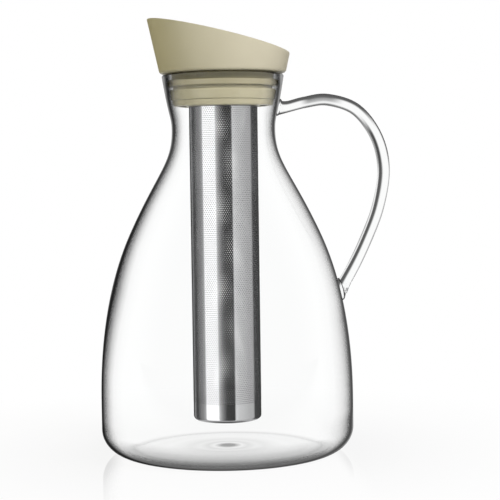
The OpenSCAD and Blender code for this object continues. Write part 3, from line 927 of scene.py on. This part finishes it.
def makeTubeBand(t, index):
    pitch = 2 * pi * t["outR"] / t["around"]
    rowRise = pitch * sqrt(3) / 2
    corner = pitch / sqrt(3)  # from the middle of a six-sided cell to its corner
    rows = int((t["highZ"] - t["topMargin"] - t["lowZ"]) / rowRise / t["bands"])
    firstZ = t["lowZ"] + t["lowMargin"] + corner + index * rows * rowRise
    clearSelection()
    bpy.ops.mesh.primitive_circle_add(
        vertices=6, radius=corner * mm, fill_type="NGON", rotation=(pi / 2, 0, 0),
        location=(index * rows * pitch / 2 * mm, 0, firstZ * mm),
    )
    piece = bpy.context.object
    piece.name = piece.data.name = "infuserTube" + "ABCDEFGH"[index]
    bpy.ops.object.transform_apply(location=True, rotation=True, scale=True)
    bpy.ops.object.mode_set(mode="EDIT")
    bpy.ops.mesh.select_all(action="SELECT")
    bpy.ops.mesh.inset(thickness=(pitch - t["hole"]) / 2 * mm)
    bpy.ops.mesh.delete(type="FACE")
    bpy.ops.object.mode_set(mode="OBJECT")
    for count, step in ((t["around"], (pitch, 0, 0)), (rows, (pitch / 2, 0, rowRise))):
        bpy.ops.object.modifier_add(type="ARRAY")
        copies = piece.modifiers[-1]
        copies.count = count
        copies.use_relative_offset = False
        copies.use_constant_offset = True
        copies.constant_offset_displace = Vector(step) * mm
        bpy.ops.object.modifier_apply(modifier=copies.name)
    wrapSheet(piece, t["outR"] * mm)
    takePiece(piece, "EDIT")
    closeMesh()
    # plain edges close the saw-toothed first and last rows
    tooth = corner * t["tooth"]
    lastZ = firstZ + (rows - 1) * rowRise
    for band, edgeZ, isTooth in (
        (0, t["lowZ"], lambda co: co.z < (firstZ - tooth) * mm),
        (t["bands"] - 1, t["highZ"], lambda co: co.z > (lastZ + tooth) * mm),
    ):
        if index == band:
            pickEdges(piece, isTooth)
            bpy.ops.mesh.extrude_region_move()
            bpy.ops.transform.resize(value=(1, 1, 0), center_override=(0, 0, edgeZ * mm))
    turnOutwards(piece)
    bpy.ops.object.mode_set(mode="OBJECT")
    bpy.ops.object.modifier_add(type="SOLIDIFY")
    sheet = piece.modifiers[-1]
    sheet.thickness = t["steel"] * mm
    sheet.offset = -1
    bpy.ops.object.modifier_apply(modifier=sheet.name)
    return piece


def makeBase(b, t):
    # a pressed cup with a rounded bottom edge
    outR, lowZ, topZ = t["outR"], b["lowZ"], t["lowZ"]
    inR, inZ = outR - t["steel"], lowZ + t["steel"]
    cup = roundOutline([
        (0, lowZ, 0), (outR - b["edgeR"] - b["flat"], lowZ, 0), (outR, lowZ, b["edgeR"]),
        (outR, lowZ + b["edgeR"] + b["flat"], 0), (outR, topZ, 0), (inR, topZ, 0),
        (inR, inZ, b["edgeR"] - t["steel"]), (0, inZ, 0),
    ], 8)
    return lathe("infuserBase", cup[:-1], b["turns"])


def makeRim(r, t):
    # the tube's top edge rolled outwards
    bead = (r["highZ"] - r["lowZ"]) * r["bead"]
    inR, outR = t["outR"] - t["steel"], t["outR"] + r["roll"]
    return lathe("infuserRim", roundOutline([
        (inR, r["lowZ"], 0), (outR, r["lowZ"], bead), (outR, r["highZ"], bead),
        (inR, r["highZ"], r["edge"]),
    ], 8), r["turns"])


for index in range(tube["bands"]):
    finishPiece(makeTubeBand(tube, index), "infuser", ["infuser_tube"], tubeSteel)
finishPiece(makeBase(base, tube), "infuser", ["infuser_base"], pressedSteel)
finishPiece(makeRim(rim, tube), "infuser", ["infuser_rim"], pressedSteel)


# Floor, light and camera

eye = dict(lens=103.9, distance=0.8628, height=0.1703, aside=0.0148, tiltDown=3.296, roll=-0.8, turn=-4)
floorLook = dict(
    size=30, colour=srgb(250, 250, 250), roughness=0.6, reach=250, lit=[(0, 0.06), (80, 0.06), (250, 0)],
    mirror=[(60, 0.25), (80, 0.25), (115, 0.12), (160, 0.03), (220, 0)], mirrorFrom=60, mirrorTo=74,
    front=(-0.08, -0.25),
)
lamps = dict(
    key=dict(place=(0.75, -0.86, 0.75), size=0.5, power=11.6, colour=(0.93, 0.905, 1)),
    fill=dict(place=(-1, -0.45, 0.5), size=0.6, power=1.2, colour=(1, 0.85, 0.3)),
    edge=dict(place=(-0.95, 0.45, 0.4), size=0.5, power=2.3, colour=(1, 0.92, 0.5)),
    front=dict(place=(-0.07, -1.1, 0.5), size=0.7, power=3, colour=(0.98, 1, 0.95)),
    top=dict(place=(0.05, 0, 1.3), size=0.9, power=2, colour=(1, 1, 1)),
)
lampAim = Vector((0, 0, 0.15))
# studio bands that the steel reflects: degrees round from the camera's side, and brightness
bands = [
    (-180, 1.0), (-166, 1.0), (-163, 0), (-149, 0), (-145, 0.12), (-139, 0.3), (-133, 0.12), (-126, 0.03),
    (-117, 0.02), (-110, 0.09), (-99, 0.19), (-89, 0.24), (-79, 0.42), (-76, 0.6), (-73, 1.35), (-29, 1.35),
    (-26, 0.67), (-22, 0.47), (-15, 0.25), (-8, 0.12), (0, 0.01), (26, 0), (28, 0.5), (31, 0.78), (40, 0.67),
    (80, 0.5), (99, 0.46), (103, 0.3), (107, 0.02), (162, 0.01), (166, 1.0), (180, 1.0),
]
overhead, underneath = (0.15, 0.45), (-0.45, -0.65)  # heights of a direction where the bands end
below = [(0.6, 0.5), (0.75, 0.5), (0.88, 0.18), (1, 0.02)]  # brightness further down
frontShade = 0.4  # how much darker the studio in front is in the glass
frontFade = (-0.2, 0.5)  # where that begins and is full, from the side to the front


def mixShaders(tree, *sources):
    # the factor and two shaders, each a (node, output)
    made = node(tree, "ShaderNodeMixShader")
    for entry, source in enumerate(sources):
        plug(tree, *source, made, entry)
    return made


def dimFront(tree, mirrored, front):
    # brightness of the stage, lower in front for rays that the glass threw back
    loss = calc(tree, "MULTIPLY", (front, "Result"), frontShade)
    dim = calc(tree, "MULTIPLY", (loss, 0), mirrored)
    return calc(tree, "SUBTRACT", 1, (dim, 0))


def makeWorld():
    world = bpy.data.worlds.new("studio")
    bpy.context.scene.world = world
    world.use_nodes = True
    tree = world.node_tree
    tree.nodes.clear()
    place = node(tree, "ShaderNodeTexCoord")
    axes = split(tree, place, "Generated")
    away = calc(tree, "MULTIPLY", (axes, "Y"), -1)
    turn = calc(tree, "ARCTAN2", (axes, "X"), (away, 0))
    share = calc(tree, "MULTIPLY", (turn, 0), 1 / (2 * pi))
    middle = calc(tree, "ADD", (share, 0), 0.5 - eye["turn"] / 360)
    most = max(shade for angle, shade in bands)
    panels = ramp(tree, middle, 0, [((angle + 180) / 360, shade / most) for angle, shade in bands])
    side = calc(tree, "MULTIPLY", (panels, "Color"), most)
    rise = fade(tree, axes, "Z", *overhead)
    toTop = blend(tree, (rise, "Result"), (side, 0), 1)
    drop = fade(tree, axes, "Z", *underneath)
    down = calc(tree, "MULTIPLY", (axes, "Z"), -1)
    ground = ramp(tree, down, 0, below)
    toEnds = blend(tree, (drop, "Result"), (toTop, "Result"), (ground, "Color"))
    polished, mirrored, undimmed = rayKinds(tree)
    white = dimFront(tree, mirrored, fade(tree, away, 0, *frontFade))
    shown = blend(tree, polished, (white, 0), (toEnds, "Result"))
    level = calc(tree, "MULTIPLY", (shown, "Result"), undimmed)
    light = node(tree, "ShaderNodeBackground")
    plug(tree, level, 0, light, "Color")
    output = node(tree, "ShaderNodeOutputWorld")
    plug(tree, light, "Background", output, "Surface")
    world.cycles_visibility.diffuse = False


def makeFloor():
    clearSelection()
    bpy.ops.mesh.primitive_plane_add(size=floorLook["size"])
    floor = bpy.context.object
    floor.name = "floor"
    material, tree, shader, output = startMaterial("paleFloor", {
        "Base Color": floorLook["colour"], "Roughness": floorLook["roughness"], "Specular IOR Level": 0,
    })
    polished, mirrored, undimmed = rayKinds(tree)
    place = node(tree, "ShaderNodeTexCoord")
    spot = split(tree, place, "Object")
    away = vectorCalc(tree, "LENGTH", (place, "Object"))
    near = calc(tree, "DIVIDE", (away, "Value"), floorLook["reach"] * mm)
    lit, sheen = [
        ramp(tree, near, 0, [(radius / floorLook["reach"], share) for radius, share in floorLook[layer]])
        for layer in ("lit", "mirror")
    ]
    # lit paper, which keeps the shadow, under a white that matches the background
    white = node(tree, "ShaderNodeEmission")
    plug(tree, dimFront(tree, mirrored, fade(tree, spot, "Y", *floorLook["front"])), 0, white, "Strength")
    unlit = calc(tree, "SUBTRACT", 1, (lit, "Color"))
    glow = calc(tree, "MULTIPLY", undimmed, (unlit, 0))
    paper = mixShaders(tree, (glow, 0), (shader, "BSDF"), (white, "Emission"))
    # a faint mirror image at both sides of the foot
    mirror = node(tree, "ShaderNodeBsdfGlossy", {"Roughness": 0})
    aside = calc(tree, "ABSOLUTE", (spot, "X"))
    sides = fade(tree, aside, 0, floorLook["mirrorFrom"] * mm, floorLook["mirrorTo"] * mm)
    share = calc(tree, "MULTIPLY", (sheen, "Color"), (sides, "Result"))
    weight = calc(tree, "MULTIPLY", (share, 0), undimmed)
    glazed = mixShaders(tree, (weight, 0), (paper, "Shader"), (mirror, "BSDF"))
    # the steel sees the studio bands below the horizon too
    clear = node(tree, "ShaderNodeBsdfTransparent")
    shown = mixShaders(tree, polished, (glazed, "Shader"), (clear, "BSDF"))
    plug(tree, shown, "Shader", output, "Surface")
    floor.data.materials.append(material)


def makeLamp(name, place, size, power, colour):
    clearSelection()
    bpy.ops.object.light_add(type="AREA", location=place)
    lamp = bpy.context.object
    lamp.name = name
    lamp.data.size = size
    lamp.data.energy = power
    lamp.data.color = colour
    aim = lampAim - Vector(place)
    lamp.rotation_euler = aim.to_track_quat("-Z", "Y").to_euler()
    lamp.visible_camera = lamp.visible_glossy = lamp.visible_transmission = False


def makeCamera(e):
    clearSelection()
    bpy.ops.object.camera_add()
    camera = bpy.context.object
    camera.data.lens = e["lens"]
    camera.matrix_world = (
        Matrix.Rotation(radians(e["turn"]), 4, "Z")
        @ Matrix.Translation((e["aside"], -e["distance"], e["height"]))
        @ Matrix.Rotation(radians(90 - e["tiltDown"]), 4, "X")
        @ Matrix.Rotation(radians(e["roll"]), 4, "Z")
    )
    bpy.context.scene.camera = camera


makeWorld()
makeFloor()
for lampName, lamp in lamps.items():
    makeLamp(lampName, **lamp)
makeCamera(eye)
bpy.context.scene.view_settings.view_transform = "Standard"
print("stage: floor,", len(lamps), "lamps, camera")
